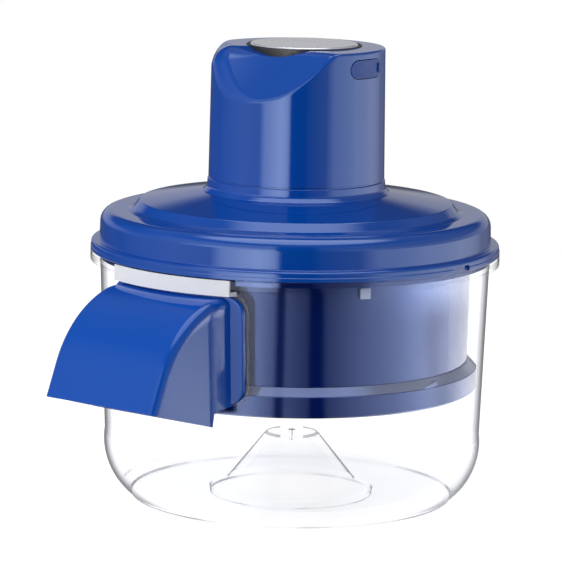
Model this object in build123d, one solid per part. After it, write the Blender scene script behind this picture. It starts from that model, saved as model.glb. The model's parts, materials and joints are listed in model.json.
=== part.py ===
"""Cordless bowl processor with a side discharge chute, as separate pieces.

Units are millimetres.  +Z is up, the origin is on the bowl's axis on the surface it stands on.
An azimuth is measured from the front (-Y) towards +X, in degrees.
"""
import os
from math import acos, cos, pi, radians, sin, sqrt, tan

from build123d import *

# ---- driving dimensions ----------------------------------------------------------------------
RUN = 0.05            # radial clearance of a running fit
GAP = 0.3             # clearance between other pieces that move past each other

# bowl
FOOT_R = 59.1
WALL_LOW = (69.2, 24.0)
WALL_HIGH = (71.4, 86.8)
BOWL_WALL = 1.8
RIM_R = 75.0
RIM_Z = (86.8, 91.0)
RIM_BORE_R = 72.2
LEDGE_Z = 88.4
FLOOR_Z = 4.7
FLOOR_THICK = 2.2
FOOT_RING_R = (28.0, 30.0)
CONE_BASE_R = 24.0
CONE_TOP_R = 10.3
CONE_TOP_Z = 23.0
CONE_CAP_Z = 19.6     # underside of the cone's closed top
SHOULDER_Z = 9.4      # seam between the floor and the rounded shoulder
PIN_R = 1.0

# chute
CHUTE_AZ = -38.0
CHUTE_WIDTH = 50.6
CHUTE_WALL = 1.8
CHUTE_EDGE_R = 4.0
DUCT_WIDTH = 43.0
DUCT_Z = (51.6, 81.2)
WALL_CUT = (DUCT_WIDTH + 3.8, (DUCT_Z[0] - 2, DUCT_Z[1] + 2), 5.0)
FLANGE_WIDTH = 59.0
FLANGE_Z = (46.2, 84.9)
FLANGE_THICK = 1.4
GASKET_THICK = 0.6
GASKET_WIDTH = 60.4
GASKET_LIP_WIDTH = 52.6

# drum
DRUM_R = (64.0, 64.7)
DRUM_WALL = 1.8
DRUM_Z = (46.1, 88.5)
DRUM_FLANGE = (71.7, 2.0)
LUG_AZ = (22, 142, 262)
LUG_SIZE = (3.8, 3.8)
COLLAR_R = 67.6
COLLAR_Z = (41.5, 49.0, 52.0)
COLLAR_BORE_R = 58.0
RAMP_AZ = (42, 132, 222, 312)
SIEVE_R = 63.8
SIEVE_Z = (44.0, 46.0)
SIEVE_HOLE_R = 2.3
SIEVE_ROWS = ((18, 10), (28, 16), (38, 22), (48, 28))
SPINDLE_R = 3.0
SPINDLE_TOP = 58.0

# rotor
ROTOR_R = 60.0
ROTOR_Z = (47.6, 49.6)
HUB_R = 7.5
HUB_TOP = 88.0
PADDLE_COUNT = 4
PADDLE_TOP = 62.0
PADDLE_X = (24.1, 53.9)
BUSH_R = 4.5

# lid
LID_Z = 91.1
LID_FLANGE_TOP = 94.7
LID_WALL_R = 71.6
DISC_R = 59.5
COLLAR_TOP_Z = 117.6
NECK_R = 32.5
PLATE_Z = (91.1, 93.1)
PLATE_R = 69.4
LID_SCREW_AT_R = 63.0
SCREW_R = 1.3
SCREW_HEAD_R = 2.6
SCREW_BORE_R = 1.35

# motor housing
BODY_R = (32.2, 31.6)
BODY_Z = (118.2, 166.0)
BODY_WALL = 2.4
POST_AT_R = 26.7
FACET_AZ = -29.0
FACET_TOP_D = 17.6    # distance of the facet's upper edge from the axis
FACET_SLOPE = 1.2
FACET_R = 330.0       # hollow of the facet
BUTTON_AT = (2.06, 3.7)
RING_R = (20.1, 21.1)
BUTTON_R = 19.75
BUTTON_TRAVEL = 1.5
PORT_AZ = 52.0
PORT_Z = 160.0
PORT_SIZE = (17.0, 6.5)

# gear train
MODULE = 1.0
SUN_TEETH = 12
PLANET_TEETH = 12
RING_TEETH = 36
PLANETS = 3
PRESSURE = radians(20)
BACKLASH = 0.16
GEAR_Z = (98.7, 103.0)
SHAFT_R = 1.15
OUTPUT_R = 4.0
CARRIER_R = 16.3
PLANET_PIN_R = 1.5
CASE_R = 23.5
CASE_BORE_R = 17.2
EAR_AT_R = 26.0
SEAL_R = 6.85
OUTPUT_BUSH_R = 6.5

# motor and cells
MOTOR_R = 13.85
MOTOR_Z = (106.4, 144.4)
MOTOR_SCREW_AT_R = 8.0
CELL_R = 7.1
CELL_Z = (108.5, 151.5)
CELL_AT_R = 21.55
HOLDER_R = (14.6, 24.0, 28.4)
HOLDER_AZ = FACET_AZ + 180
CELL_AZ = (HOLDER_AZ - 50, HOLDER_AZ + 50)
BOARD_R = 27.6
BOARD_Z = (153.5, 155.0)
BOARD_POST_AT_R = 25.4
BOARD_POST_AZ = (100, -110)


# ---- helpers ---------------------------------------------------------------------------------
def at_azimuth(shape, azimuth):
    """Turns a shape built along +X so that it points to an azimuth."""
    return Rot(0, 0, azimuth - 90) * shape


def polar(radius, azimuth):
    a = radians(azimuth)
    return radius * sin(a), -radius * cos(a)


def disc(radius, z, at=(0, 0)):
    return Pos(at[0], at[1], (z[0] + z[1]) / 2) * Cylinder(radius, z[1] - z[0])


def ring(inner, outer, z, at=(0, 0)):
    return disc(outer, z, at) - disc(inner, (z[0] - 1, z[1] + 1), at)


def block(x, y, z):
    """A box between two limits on each axis."""
    size = [b - a for a, b in (x, y, z)]
    centre = [(a + b) / 2 for a, b in (x, y, z)]
    return Pos(*centre) * Box(*size)


def outline(start, *moves):
    """A closed face: each move is an end point, or a (mid, end) pair for an arc."""
    edges = []
    here = start
    for move in moves + (start,):
        if isinstance(move[0], tuple):
            edges.append(ThreePointArc(here, move[0], move[1]))
            here = move[1]
        else:
            edges.append(Line(here, move))
            here = move
    return make_face(edges)


def lathe(start, *moves):
    """Turns an (r, z) outline about the Z axis."""
    return revolve(Plane.XZ * outline(start, *moves), Axis.Z, 360)


def prism(width, z, corner, reach):
    """A rounded rectangle pushed outwards along +X between two radii."""
    face = RectangleRounded(width, z[1] - z[0], corner)
    plane = Plane(origin=(reach[0], 0, (z[0] + z[1]) / 2), x_dir=(0, 1, 0), z_dir=(1, 0, 0))
    return extrude(plane * face, reach[1] - reach[0])


def wall_r(z):
    """The bowl wall's outer radius at a height."""
    (r0, z0), (r1, z1) = WALL_LOW, WALL_HIGH
    return r0 + (r1 - r0) * (z - z0) / (z1 - z0)


def wall_cone(outset, z):
    """A solid whose side follows the bowl's outer wall, moved outwards."""
    low, high = z
    return lathe((0, low), (wall_r(low) + outset, low), (wall_r(high) + outset, high), (0, high))


def wall_band(inside, outside, z):
    """A tapered ring that follows the bowl's outer wall."""
    return wall_cone(outside, z) - wall_cone(inside, (z[0] - 1, z[1] + 1))


def screw(at, z_head, z_top, shank_r, head_r, head_height):
    head = disc(head_r, (z_head, z_head + head_height), at)
    cross = block((-head_r * 0.6, head_r * 0.6), (-0.3, 0.3), (z_head - 1, z_head + 0.7))
    recess = Pos(at[0], at[1], 0) * (cross + Rot(0, 0, 90) * cross)
    return head + disc(shank_r, (z_head + head_height, z_top), at) - recess


def smooth(shape, edges, *radii):
    """Rounds edges with the first radius that the shape accepts."""
    for radius in radii:
        try:
            rounded = fillet(edges, radius)
        except (ValueError, RuntimeError):
            continue
        if rounded.is_valid:
            return rounded
    return shape


# ---- bowl and chute --------------------------------------------------------------------------
def bowl_moulding():
    inner_low = (WALL_LOW[0] - BOWL_WALL, WALL_LOW[1])
    inner_high = (wall_r(LEDGE_Z) - BOWL_WALL, LEDGE_Z)
    underside = FLOOR_Z - FLOOR_THICK
    body = lathe(
        (0, underside),
        (FOOT_RING_R[0], underside), (FOOT_RING_R[0], 0), (FOOT_RING_R[1], 0), (FOOT_RING_R[1], underside),
        (FOOT_R - 2.6, underside), (FOOT_R - 2.6, 0), (FOOT_R, 0),
        ((65.0, 6.5), WALL_LOW),
        WALL_HIGH,
        (RIM_R, RIM_Z[0] + 0.4), (RIM_R, RIM_Z[1] - 0.4), (RIM_R - 0.4, RIM_Z[1]),
        (RIM_BORE_R, RIM_Z[1]), (RIM_BORE_R, LEDGE_Z), inner_high, inner_low,
        ((62.4, 9.4), (53.0, FLOOR_Z)),
        (CONE_BASE_R, FLOOR_Z), (CONE_TOP_R, CONE_TOP_Z - 1.5),
        (CONE_TOP_R - 1.5, CONE_TOP_Z), (0, CONE_TOP_Z),
    )
    hollow = lathe(
        (0, underside - 1), (CONE_BASE_R - 2.4, underside - 1), (CONE_BASE_R - 2.4, underside),
        (CONE_TOP_R - 2.4, CONE_CAP_Z), (0, CONE_CAP_Z),
    )
    opening = prism(*WALL_CUT, (60, 90))
    pin_hole = disc(PIN_R + 0.02, (CONE_CAP_Z - 1, CONE_TOP_Z + 1))
    return body - hollow - at_azimuth(opening, CHUTE_AZ) - pin_hole


def bowl_pieces():
    """The bowl's one moulding, divided at level and round seams."""
    whole = bowl_moulding()
    seam = WALL_LOW[1]
    return {
        "bowl_wall": whole & disc(RIM_R + 1, (seam, RIM_Z[1] + 1)),
        "bowl_shoulder": whole & ring(CONE_BASE_R, RIM_R, (SHOULDER_Z, seam)),
        "bowl_floor": whole & ring(CONE_BASE_R, RIM_R, (-1, SHOULDER_Z)),
        "bowl_cone": whole & disc(CONE_BASE_R, (-1, CONE_CAP_Z)),
        "bowl_cone_cap": whole & disc(CONE_BASE_R, (CONE_CAP_Z, seam)),
    }


def bowl_centre_pin():
    shank = disc(PIN_R, (CONE_CAP_Z, CONE_TOP_Z + 0.1))
    return shank + disc(PIN_R + 0.4, (CONE_TOP_Z + 0.1, CONE_TOP_Z + 0.5))


def chute_gasket():
    """A frame round the duct, with a lip that hooks over the front of the bowl's rim."""
    low, high = 45.4, RIM_Z[0] - 0.25
    band = wall_band(0.05, GASKET_THICK, (low, high))
    frame = prism(GASKET_WIDTH, (low, high), 7.0, (50, 90)) - prism(*WALL_CUT, (40, 100))
    under, over = FLANGE_Z[1] + 0.3, RIM_Z[1] - 0.2
    lip = lathe(
        (wall_r(under) + 0.2, under), (RIM_R + 0.65, under), (RIM_R + 0.65, over),
        (RIM_R + 0.05, over), (RIM_R + 0.05, high), (wall_r(under) + 0.2, high),
    )
    lip &= at_azimuth(block((50, 90), (-GASKET_LIP_WIDTH / 2, GASKET_LIP_WIDTH / 2), (80, 92)), CHUTE_AZ)
    return (band & at_azimuth(frame, CHUTE_AZ)) + lip


def chute_profile(inset):
    """The hood's side outline in (distance from the axis, z), pulled in by a wall."""
    return outline(
        (60, 84.8 - inset),
        (76.0 - 0.1 * inset, 84.2 - inset),
        ((93.9 - 0.7 * inset, 75.4 - 0.7 * inset), (105.2 - 0.9 * inset, 59.6 - 0.4 * inset)),
        (109.8 - inset, 48.9),
        (77.6, 39.8),
        (76.8, 44.3),
        (74.7, 45.3),
        (60, 46.2),
    )


def chute_cavity():
    inset = CHUTE_WALL
    return outline(
        (66, DUCT_Z[1] + 1.0),
        (75.8, 84.2 - inset),
        ((93.9 - 0.72 * inset, 75.4 - 0.7 * inset), (105.2 - 0.9 * inset, 59.6 - 0.4 * inset)),
        (109.8 - inset, 48.9),
        (110.4 - inset, 40.0),
        (79.6, 34.0),
        (78.7, 45.4),
        (75.4, 47.2),
        (66, 49.2),
    )


def pushed(face, width):
    """A side outline given a width, centred on the chute's mid plane."""
    return extrude(Plane.XZ * face, width / 2, both=True)


def chute():
    shape = pushed(chute_profile(0), CHUTE_WIDTH)
    shape = smooth(shape, shape.edges().filter_by(outer_crease), CHUTE_EDGE_R, 3.0, 2.0, 1.0)
    low = GASKET_THICK + GAP
    flange = prism(FLANGE_WIDTH, FLANGE_Z, 6.0, (50, 90)) & wall_band(low, low + FLANGE_THICK, FLANGE_Z)
    outside = disc(200, (0, 120)) - wall_cone(low, (20, 110))
    spigot = prism(DUCT_WIDTH + 2.8, (DUCT_Z[0] - 1.5, DUCT_Z[1] + 1.5), 4.5, (50, 76))
    spigot -= disc(wall_r(50) - BOWL_WALL + 0.4, (30, 100))
    duct = prism(DUCT_WIDTH, DUCT_Z, 3.5, (50, 77))
    cavity = pushed(chute_cavity(), CHUTE_WIDTH - 2 * CHUTE_WALL) & outside
    shape = (shape & outside) + flange + spigot - cavity - duct
    return at_azimuth(shape, CHUTE_AZ)


def outer_crease(edge):
    """The long edges along the hood's two sides."""
    box = edge.bounding_box()
    at_side = abs(abs(box.center().Y) - CHUTE_WIDTH / 2) < 0.01 and box.size.Y < 0.01
    outside = edge.center().X > 70 and edge.center().Z > 50
    beyond = edge.center().Z > 84.8 - 3.2 or edge.center().X > 92
    return at_side and outside and beyond


# ---- drum and rotor --------------------------------------------------------------------------
def drum_wall():
    (r_low, r_high), (low, high) = DRUM_R, DRUM_Z
    flange_r, flange_thick = DRUM_FLANGE
    body = lathe(
        (r_low - DRUM_WALL, low), (r_low, low), (r_high, high), (flange_r, high),
        (flange_r, high + flange_thick), (r_high - DRUM_WALL, high + flange_thick),
    )
    width, height = LUG_SIZE
    lug = block((r_high - 0.8, r_high + 1.6), (-width / 2, width / 2), (high - height - 1.2, high - 1.2))
    for azimuth in LUG_AZ:
        body += at_azimuth(lug, azimuth)
    window = prism(DUCT_WIDTH + 3, (DUCT_Z[0], DUCT_Z[1] + 1.5), 4.0, (40, 80))
    return body - at_azimuth(window, CHUTE_AZ)


def drum_collar():
    low, shoulder, top = COLLAR_Z
    inner = DRUM_R[0] + 0.12
    body = lathe(
        (COLLAR_BORE_R, low), (COLLAR_R - 0.6, low), (COLLAR_R, low + 0.6), (COLLAR_R, shoulder),
        (inner + 0.7, top), (inner, top), (inner, SIEVE_Z[0] - 0.1), (COLLAR_BORE_R, SIEVE_Z[0] - 0.1),
    )
    ramp = block((COLLAR_R - 3.0, COLLAR_R - 0.3), (-9, 9), (-0.7, 0.7))
    for azimuth in RAMP_AZ:
        body += at_azimuth(Pos(0, 0, 48.3) * Rot(14, 0, 0) * ramp, azimuth) & disc(COLLAR_R, (40, 60))
    return body


def drum_floor():
    plate = disc(SIEVE_R, SIEVE_Z) + disc(7.0, (SIEVE_Z[0], ROTOR_Z[0] - GAP))
    hole = disc(SIEVE_HOLE_R, (SIEVE_Z[0] - 1, SIEVE_Z[1] + 1))
    holes = []
    for radius, count in SIEVE_ROWS:
        holes += [Pos(*polar(radius, 360 * i / count), 0) * hole for i in range(count)]
    return plate - holes - disc(SPINDLE_R + 0.02, (40, 60))


def drum_spindle():
    head = disc(5.0, (SIEVE_Z[0] - 1.5, SIEVE_Z[0]))
    return head + disc(SPINDLE_R, (SIEVE_Z[0], SPINDLE_TOP))


def hexagon(flats, z):
    return extrude(Pos(0, 0, z[0]) * RegularPolygon(flats / 2, 6, major_radius=False), z[1] - z[0])


def rotor_disc():
    body = disc(ROTOR_R, ROTOR_Z) + disc(HUB_R, (ROTOR_Z[0], HUB_TOP))
    body += ring(ROTOR_R - 3, ROTOR_R, (ROTOR_Z[0], ROTOR_Z[1] + 1.5))
    rib = block((HUB_R - 1, 22), (-1.2, 1.2), (ROTOR_Z[0], ROTOR_Z[1] + 8))
    for i in range(PADDLE_COUNT):
        body += at_azimuth(rib, 45 + 90 * i)
    slot = block((PADDLE_X[0] - 0.1, PADDLE_X[1] + 0.1), (-1.6, 1.6), (ROTOR_Z[1] - 1.0, 70))
    for i in range(PADDLE_COUNT):
        body -= at_azimuth(slot, 90 * i)
    body -= hexagon(7.6, (79.0, HUB_TOP + 1))
    return body - disc(BUSH_R + 0.02, (ROTOR_Z[0] - 1, SPINDLE_TOP + 1.0))


def rotor_paddle():
    foot = block(PADDLE_X, (-1.5, 1.5), (ROTOR_Z[1] - 0.95, ROTOR_Z[1] + 1.2))
    blade = block(PADDLE_X, (-1.0, 1.0), (ROTOR_Z[1], PADDLE_TOP))
    near, far = PADDLE_X
    tip = Pos((near + far) / 2, 0, PADDLE_TOP) * Rot(0, 90, 0) * Cylinder(1.3, far - near)
    return foot + blade + tip


def rotor_bush():
    return ring(SPINDLE_R + RUN, BUSH_R, (ROTOR_Z[0] + 0.1, SPINDLE_TOP - 0.5))


# ---- lid -------------------------------------------------------------------------------------
def lid_shell():
    neck_inner = NECK_R - 2.7
    body = lathe(
        (69.6, LID_Z), (RIM_R, LID_Z), (RIM_R, LID_Z + 1.3), (RIM_R - 0.25, LID_Z + 1.5),
        (RIM_R - 0.25, LID_Z + 2.4), ((RIM_R - 0.8, LID_FLANGE_TOP - 0.4), (RIM_R - 1.9, LID_FLANGE_TOP)),
        (LID_WALL_R + 0.1, LID_FLANGE_TOP), (LID_WALL_R - 0.1, 102.0),
        ((69.9, 104.9), (66.5, 105.7)), (62.6, 105.7),
        ((61.2, 105.5), (DISC_R, 106.3)), (DISC_R, 106.6), (57.2, 109.2),
        (34.5, 112.9), ((33.1, 113.4), (NECK_R + 0.1, 114.9)),
        (NECK_R, COLLAR_TOP_Z), (NECK_R - 0.6, COLLAR_TOP_Z), (NECK_R - 0.6, COLLAR_TOP_Z + 0.5),
        (neck_inner, COLLAR_TOP_Z + 0.5), (neck_inner, 110.6),
        (56.0, 107.0), (57.0, 103.4), (66.0, 103.4), (69.4, 101.4),
    )
    for at in lid_screw_points():
        body += disc(3.2, (PLATE_Z[1], 103.6), at)
        body -= disc(SCREW_BORE_R, (90, 101), at)
    lug = block((24.0, 31.0), (-3.4, 3.4), (114.0, 117.0)) - disc(24.2, (110, 120))
    for i, hole in enumerate(housing_posts(1.6, (110, 117.05))):
        body += at_azimuth(lug, HOLDER_AZ + 120 * i)
        body -= hole
    notch = block((RIM_R - 1.3, RIM_R + 2), (-5.0, 5.0), (LID_Z - 1, LID_Z + 2.1))
    seal_groove = ring(72.6, 74.0, (LID_Z - 1, LID_Z + 1.1))
    return body - at_azimuth(notch, PORT_AZ) - seal_groove


def lid_seal():
    return ring(72.65, 73.95, (LID_Z, LID_Z + 1.05))


def lid_screw_points():
    return [polar(LID_SCREW_AT_R, 45 + 90 * i) for i in range(4)]


def lid_base_plate():
    plate = disc(PLATE_R, PLATE_Z) - disc(SEAL_R + 0.05, (90, 94))
    rib = ring(48.0, 49.5, (PLATE_Z[1], PLATE_Z[1] + 2.0))
    for at in lid_screw_points() + gearbox_ears():
        plate -= disc(1.6, (90, 94), at) + disc(SCREW_HEAD_R + 0.15, (90, PLATE_Z[0] + 1.05), at)
    return plate + rib


def lid_screws():
    return [screw(at, PLATE_Z[0], 100.0, SCREW_R, SCREW_HEAD_R, 1.0) for at in lid_screw_points()]


# ---- gear train ------------------------------------------------------------------------------
def involute(angle):
    return tan(angle) - angle


def tooth_half_angle(teeth, radius, slack):
    """Half the angle that a tooth, or with negative slack a tooth space, covers at a radius."""
    pitch_r = MODULE * teeth / 2
    base_r = pitch_r * cos(PRESSURE)
    at_pitch = pi / (2 * teeth) - slack / (2 * pitch_r)
    pressure_here = acos(min(1.0, base_r / radius))
    return at_pitch + involute(PRESSURE) - involute(pressure_here)


def toothed_face(teeth, root_r, tip_r, slack, phase):
    """The outline of a gear, with one tooth's middle at the phase angle in degrees."""
    base_r = MODULE * teeth / 2 * cos(PRESSURE)
    start_r = max(root_r, base_r)
    radii = [start_r + (tip_r - start_r) * i / 3 for i in range(4)]
    if root_r < base_r:
        radii = [root_r] + radii
    half = [tooth_half_angle(teeth, max(r, base_r), slack) for r in radii]
    points = []
    for i in range(teeth):
        middle = radians(phase) + 2 * pi * i / teeth
        flank = list(zip(radii, half))
        points += [(r * cos(middle - a), r * sin(middle - a)) for r, a in flank]
        points += [(r * cos(middle + a), r * sin(middle + a)) for r, a in reversed(flank)]
    return make_face(Polyline(*points, close=True))


def planet_places():
    """(centre angle, own phase) of each planet in degrees, in mesh with a sun at phase 0."""
    places = []
    for i in range(PLANETS):
        angle = 360 * i / PLANETS
        sun_part = (angle / (360 / SUN_TEETH)) % 1
        planet_part = (0.5 - sun_part) % 1
        places.append((angle, angle + 180 - planet_part * 360 / PLANET_TEETH))
    return places


def ring_phase():
    angle, phase = planet_places()[0]
    planet_part = ((angle - phase) / (360 / PLANET_TEETH)) % 1
    return angle - (planet_part - 0.5) * 360 / RING_TEETH


def spur_gear(teeth, phase, z, bore):
    pitch_r = MODULE * teeth / 2
    face = toothed_face(teeth, pitch_r - 1.15 * MODULE, pitch_r + 0.8 * MODULE, BACKLASH, phase)
    gear = extrude(Pos(0, 0, z[0]) * face, z[1] - z[0])
    return gear - disc(bore, (z[0] - 1, z[1] + 1))


def planet_centre(angle):
    reach = MODULE * (SUN_TEETH + PLANET_TEETH) / 2
    return reach * cos(radians(angle)), reach * sin(radians(angle))


def planet_gear(index):
    angle, phase = planet_places()[index]
    x, y = planet_centre(angle)
    return Pos(x, y, 0) * spur_gear(PLANET_TEETH, phase, GEAR_Z, PLANET_PIN_R + RUN)


def sun_gear():
    return spur_gear(SUN_TEETH, 0, (GEAR_Z[0] + 0.2, GEAR_Z[1] + 0.6), SHAFT_R + 0.01)


def ring_gear():
    pitch_r = MODULE * RING_TEETH / 2
    z = (98.2, 103.8)
    tip_r = pitch_r - 0.55 * MODULE
    spaces = toothed_face(RING_TEETH, tip_r, pitch_r + 1.15 * MODULE, -BACKLASH, ring_phase() + 5)
    blank = ring(tip_r, CASE_R - 1.75, z)
    return blank - extrude(Pos(0, 0, z[0] - 1) * spaces, z[1] - z[0] + 2)


def planet_carrier():
    body = disc(CARRIER_R, (97.0, 98.4)) + disc(OUTPUT_R, (88.0, 97.0))
    body += hexagon(6.0, (84.0, 88.0))
    for angle, _ in planet_places():
        body += disc(PLANET_PIN_R, (98.4, GEAR_Z[1] + 0.2), planet_centre(angle))
    return body


def drive_coupling():
    """The hexagonal dog on the output shaft that drops into the rotor's hub."""
    return hexagon(7.0, (80.0, 87.9)) - hexagon(6.05, (83.95, 89.0))


def gearbox_ears():
    return [polar(EAR_AT_R, 91 + 120 * i) for i in range(3)]


def gearbox_case():
    z = (PLATE_Z[1] + 0.05, 104.2)
    body = disc(CASE_R, z)
    for at in gearbox_ears():
        body += disc(3.6, (z[0], 99.0), at)
    body -= disc(CASE_R - 1.7, (98.1, 110)) + disc(CASE_BORE_R, (95.3, 99))
    body += disc(8.6, (95.0, 96.7))
    for at in gearbox_ears():
        body -= disc(SCREW_BORE_R, (90, 98.0), at)
    return body - disc(OUTPUT_BUSH_R + 0.02, (90, 100))


def gearbox_cover():
    plate = disc(CASE_R, (104.25, 106.3)) - disc(4.2, (100, 110))
    for at in motor_screw_points():
        plate -= disc(1.4, (100, 110), at) + disc(2.3, (100, 105.3), at)
    return plate


def gearbox_screws():
    return [screw(at, PLATE_Z[0], 97.5, SCREW_R, SCREW_HEAD_R, 1.0) for at in gearbox_ears()]


def output_bush():
    return ring(OUTPUT_R + RUN, OUTPUT_BUSH_R, (93.2, 96.75))


def shaft_seal():
    lip = ring(OUTPUT_R + RUN, 6.0, (91.2, 91.9))
    return lip + ring(5.0, SEAL_R, (91.2, 93.05))


# ---- motor -----------------------------------------------------------------------------------
def motor_screw_points():
    return [polar(MOTOR_SCREW_AT_R, azimuth) for azimuth in (0, 180)]


def motor_can():
    body = disc(MOTOR_R, MOTOR_Z) - disc(MOTOR_R - 1.0, (MOTOR_Z[0] + 1.3, MOTOR_Z[1] + 1))
    body += ring(SHAFT_R + RUN, 4.0, (104.7, MOTOR_Z[0] + 3.0))
    for at in motor_screw_points():
        body -= disc(1.3, (100, MOTOR_Z[0] + 1.4), at)
    return body - disc(SHAFT_R + RUN, (100, 115))


def motor_magnets():
    z = (MOTOR_Z[0] + 4.0, MOTOR_Z[0] + 28.0)
    shell = ring(MOTOR_R - 3.4, MOTOR_R - 1.05, z)
    sector = block((0, 20), (-8.5, 8.5), (100, 150))
    return [shell & at_azimuth(sector, 90), shell & at_azimuth(sector, -90)]


def motor_armature():
    z = (MOTOR_Z[0] + 5.0, MOTOR_Z[0] + 27.0)
    body = disc(MOTOR_R - 3.8, z)
    slot = block((4.5, 20), (-0.7, 0.7), (100, 150)) + Pos(6.4, 0, 125) * Cylinder(1.6, 60)
    for i in range(5):
        body -= at_azimuth(slot, 72 * i)
    body += disc(3.4, (z[1], z[1] + 6.0))
    return body - disc(SHAFT_R + 0.01, (90, 150))


def motor_shaft():
    return disc(SHAFT_R, (GEAR_Z[0] + 0.3, MOTOR_Z[1] - 0.6))


def motor_screws():
    return [screw(at, 104.3, MOTOR_Z[0] + 1.2, 1.25, 2.2, 0.9) for at in motor_screw_points()]


def motor_end_cap():
    cap = disc(MOTOR_R - 1.05, (MOTOR_Z[1] - 3.0, MOTOR_Z[1] + 0.6))
    cap -= disc(SHAFT_R + RUN, (130, MOTOR_Z[1] - 0.4))
    for side in (-1, 1):
        cap += Pos(9.0 * side, 0, MOTOR_Z[1] + 2.2) * Box(2.8, 0.5, 3.4)
    return cap


# ---- housing, battery and electronics --------------------------------------------------------
def facet_tool(radius):
    """The round bar that scoops the sloping facet out of the housing's upper front."""
    length = sqrt(1 + FACET_SLOPE ** 2)
    normal = (FACET_SLOPE / length, 0, 1 / length)
    down = (1 / length, 0, -FACET_SLOPE / length)
    centre = (FACET_TOP_D + FACET_R * normal[0], 0, BODY_Z[1] + FACET_R * normal[2])
    plane = Plane(origin=centre, x_dir=(0, 1, 0), z_dir=down)
    return at_azimuth(plane * Cylinder(radius, 160), FACET_AZ)


def tapered(inset, z):
    """The housing's round body pulled in by an inset."""
    fall = (BODY_R[0] - BODY_R[1]) / (BODY_Z[1] - BODY_Z[0])
    r0 = BODY_R[0] - inset - fall * (z[0] - BODY_Z[0])
    r1 = BODY_R[0] - inset - fall * (z[1] - BODY_Z[0])
    return Pos(0, 0, (z[0] + z[1]) / 2) * Cone(r0, r1, z[1] - z[0])


def port_shape(width, height, reach):
    z = (PORT_Z - height / 2, PORT_Z + height / 2)
    return at_azimuth(prism(width, z, height / 2 - 0.01, reach), PORT_AZ)


def housing_posts(radius, z):
    return [disc(radius, z, at) for at in housing_post_points()]


def housing_post_points():
    return [polar(POST_AT_R, HOLDER_AZ + 120 * i) for i in range(3)]


def board_post_points():
    return [polar(BOARD_POST_AT_R, azimuth) for azimuth in BOARD_POST_AZ]


def board_posts(radius, z):
    return [disc(radius, z, at) for at in board_post_points()]


def motor_housing():
    body = tapered(0, BODY_Z) - facet_tool(FACET_R)
    body = smooth(body, body.edges().filter_by(facet_edge), 0.8, 0.5, 0.3)
    cavity = tapered(BODY_WALL, (BODY_Z[0] - 1, BODY_Z[1] - BODY_WALL))
    cavity -= facet_tool(FACET_R + BODY_WALL)
    pad = port_shape(20.0, 9.6, (28.2, 30.5))
    pad &= disc(31.0, (150, 166))
    body = body - cavity + pad
    for post in housing_posts(2.6, (117.2, 130.0)) + board_posts(2.2, (BOARD_Z[1], BODY_Z[1] - 1)):
        body += post
    bridge = block((26.0, 31.0), (-1.2, 1.2), (119.0, 130.0))
    for i in range(3):
        body += at_azimuth(bridge, HOLDER_AZ + 120 * i)
    for hole in housing_posts(SCREW_BORE_R, (110, 127)) + board_posts(1.0, (150, BOARD_Z[1] + 6)):
        body -= hole
    body -= disc(RING_R[1] + 0.1, (160, 170), BUTTON_AT)
    recess = port_shape(PORT_SIZE[0] + 2 * GAP, PORT_SIZE[1] + 2 * GAP, (28, 40))
    recess -= disc(30.1, (150, 170))
    return body - recess - port_shape(10.4, 4.6, (20, 40))


def facet_edge(edge):
    """Edges where the facet meets the round body."""
    on_top = abs(edge.center().Z - BODY_Z[1]) < 0.3
    low = edge.center().Z < BODY_Z[0] + 1
    return edge.geom_type != GeomType.LINE and not on_top and not low


def housing_screws():
    return [screw(at, 112.5, 126.0, SCREW_R, 2.3, 1.5) for at in housing_post_points()]


def battery_holder():
    inner, middle, outer = HOLDER_R
    body = disc(middle, (106.35, 148.0)) + ring(inner, outer, (106.35, CELL_Z[0] - 0.1))
    body &= at_azimuth(block((-2, 40), (-40, 40), (100, 160)), HOLDER_AZ)
    body -= disc(inner, (100, 160))
    for azimuth in CELL_AZ:
        body -= disc(CELL_R + 0.2, (CELL_Z[0] - 0.1, 160), polar(CELL_AT_R, azimuth))
    for hole in housing_posts(3.2, (100, 131)):
        body -= hole
    return body


def battery_cell(index):
    at = polar(CELL_AT_R, CELL_AZ[index])
    body = disc(CELL_R, (CELL_Z[0], CELL_Z[1] - 1.0), at)
    return body + disc(2.8, (CELL_Z[1] - 1.0, CELL_Z[1]), at)


def control_board():
    board = disc(BOARD_R, BOARD_Z) & at_azimuth(block((-40, 23.2), (-40, 40), (150, 160)), FACET_AZ)
    for hole in board_posts(1.2, (150, 160)):
        board -= hole
    chip = Pos(-9.0, 12.0, BOARD_Z[0] - 0.75) * Box(7.0, 7.0, 1.5)
    coil = disc(3.0, (BOARD_Z[0] - 3.0, BOARD_Z[0]), (10.0, -8.0))
    return board + chip + coil


def board_screws():
    low, high = BOARD_Z[0] - 1.2, BOARD_Z[1] + 4.0
    return [screw(at, low, high, 0.95, 1.9, 1.2) for at in board_post_points()]


def power_switch():
    body = Pos(BUTTON_AT[0], BUTTON_AT[1], BOARD_Z[1] + 1.75) * Box(6.2, 6.2, 3.5)
    return body + disc(1.6, (BOARD_Z[1] + 3.5, BOARD_Z[1] + 4.8), BUTTON_AT)


def button_spring():
    wire = 0.35
    low = BOARD_Z[1] + 0.1 + wire
    high = BODY_Z[1] - 1.2 - wire
    coil = Helix(pitch=(high - low) / 5, height=high - low, radius=6.4)
    section = Plane(origin=coil @ 0, z_dir=coil % 0) * Circle(wire)
    return Pos(BUTTON_AT[0], BUTTON_AT[1], low) * sweep(section, path=coil)


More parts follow.
